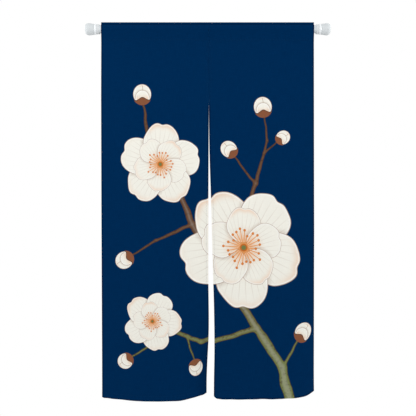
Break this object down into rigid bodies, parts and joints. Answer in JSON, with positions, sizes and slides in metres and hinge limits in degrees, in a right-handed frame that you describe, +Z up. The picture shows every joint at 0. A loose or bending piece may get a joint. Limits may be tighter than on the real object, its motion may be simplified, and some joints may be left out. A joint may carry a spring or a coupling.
{
  "type": "noren curtain with tension rod",
  "caption": "Split doorway curtain of navy cotton, sewn together above a centre slit and hung by a stitched rod pocket from a white tension rod with padded ends.",
  "frame": {"origin": "centre of the left end pad's face, on the rod's axis", "axes": "+X along the rod to the right as seen from the printed side, +Y away from the printed side, +Z up"},
  "size_m": [0.971, 0.0712, 1.5],
  "materials": {
    "navy_cotton": "matte plain-weave cotton, dyed navy, with a printed blossom design",
    "white_enamel": "smooth semi-gloss white paint on thin steel tube",
    "white_plastic": "moulded, fine satin",
    "pale_rubber": "matte pale grip pad"
  },
  "bodies": {
    "root": {"left_panel": "navy_cotton", "right_panel": "navy_cotton", "outer_tube": "white_enamel", "inner_tube": "white_enamel", "left_cap": "white_plastic", "right_cap": "white_plastic", "left_pad": "pale_rubber", "right_pad": "pale_rubber"}
  },
  "joints": []
}
